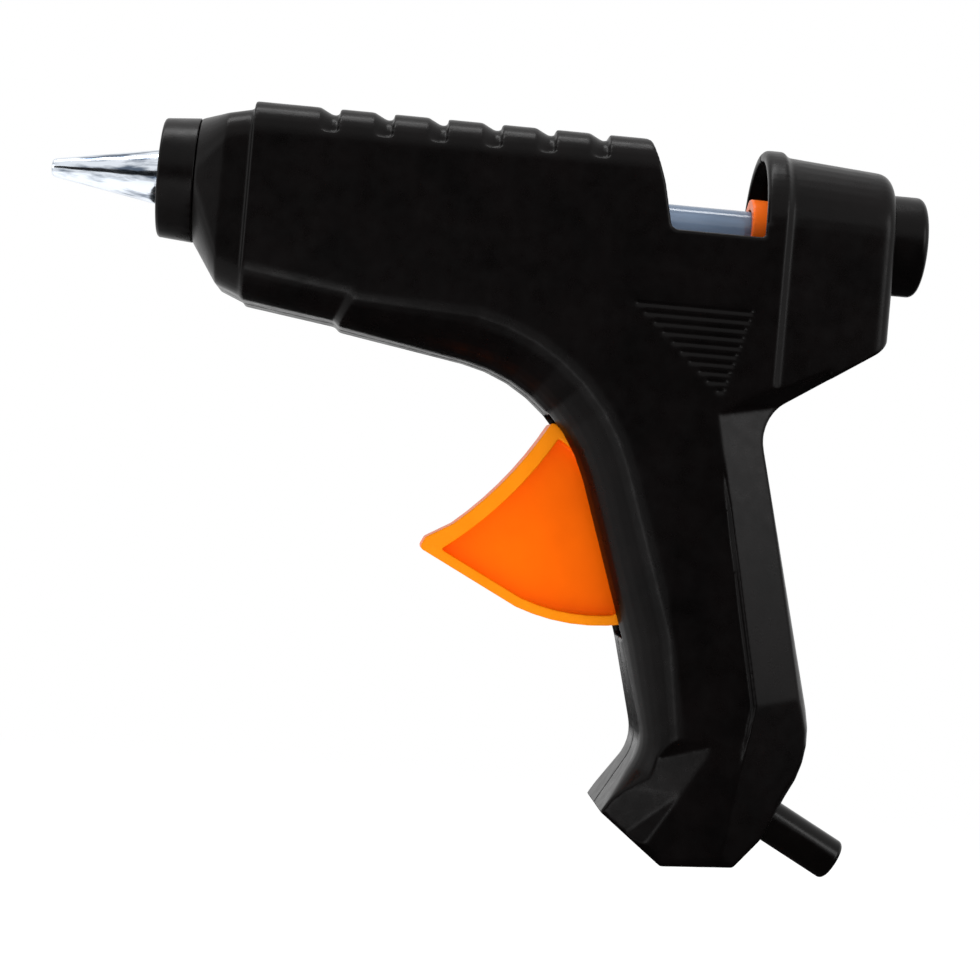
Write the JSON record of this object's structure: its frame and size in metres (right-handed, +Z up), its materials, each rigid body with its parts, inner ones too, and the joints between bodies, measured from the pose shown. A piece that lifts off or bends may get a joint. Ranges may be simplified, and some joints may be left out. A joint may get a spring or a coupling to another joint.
{
  "type": "hot glue applicator",
  "caption": "Pistol-shaped hot glue applicator with a bare metal nozzle, a stick window, and a trigger that feeds the glue stick through a heated barrel.",
  "frame": {"origin": "centre of the mouth of the stick inlet, on the glue axis", "axes": "+X out of the inlet along the glue axis, so that the nozzle points towards -X; +Z up, away from the grip; +Y to the right side of the gun"},
  "size_m": [0.1498, 0.0286, 0.1246],
  "materials": {
    "housing_plastic": "fine-grained moulded black",
    "trigger_plastic": "glossy moulded orange",
    "carriage_plastic": "moulded orange",
    "nozzle_aluminium": "turned, bare",
    "cast_aluminium": "die-cast",
    "steel": "zinc plated",
    "heat_plastic": "heat-resisting, off-white",
    "silicone": "soft, red-brown",
    "ceramic": "fired, dull",
    "contact_strip": "rolled strip",
    "insulating_film": "amber film",
    "lead_insulation": "braided sleeve",
    "splice_plastic": "moulded cap",
    "guard_rubber": "satin black",
    "hot_melt": "translucent"
  },
  "bodies": {
    "housing": {"left_shell": "housing_plastic", "right_shell": "housing_plastic", "shell_screws": "steel", "nose_collar": "housing_plastic", "nozzle": "nozzle_aluminium", "inlet_ring": "housing_plastic", "melt_chamber": "cast_aluminium", "front_support": "heat_plastic", "rear_support": "heat_plastic", "inlet_sleeve": "silicone", "sleeve_clamp": "steel", "ptc_heater": "ceramic", "heater_electrodes": "contact_strip", "heater_insulation": "insulating_film", "heater_leads": "lead_insulation", "lead_splices": "splice_plastic", "cord_guard": "guard_rubber", "cord_clamp": "steel", "cord_clamp_screws": "steel", "trigger_pivot_pin": "steel", "return_spring": "steel"},
    "trigger": {"trigger": "trigger_plastic"},
    "carriage": {"feed_carriage": "carriage_plastic", "drive_pin": "steel", "gripper_pin": "steel"},
    "gripper": {"gripper_jaw": "carriage_plastic"},
    "stick": {"glue_stick": "hot_melt"}
  },
  "joints": [
    {"name": "trigger_pull", "type": "hinge", "parent": "housing", "child": "trigger", "pos_m": [-0.0533, 0, -0.0385], "axis": [0, -1, 0], "range_deg": [0, 24], "stiffness_Nm_per_rad": 0.2, "springref_deg": -17.19},
    {"name": "carriage_feed", "type": "slide", "parent": "housing", "child": "carriage", "axis": [-1, 0, 0], "range_m": [0, 0.0125], "deforming": ["return_spring"]},
    {"name": "jaw_bite", "type": "hinge", "parent": "carriage", "child": "gripper", "pos_m": [-0.02, 0, -0.0078], "axis": [0, 1, 0], "range_deg": [0, 5]},
    {"name": "stick_slide", "type": "slide", "parent": "carriage", "child": "stick", "axis": [1, 0, 0], "range_m": [0, 0.08]}
  ],
  "couplings": [
    {"joint": "carriage_feed", "follows": "trigger_pull", "m_per_rad": 0.02978},
    {"joint": "jaw_bite", "follows": "trigger_pull", "ratio": 0.2083}
  ]
}
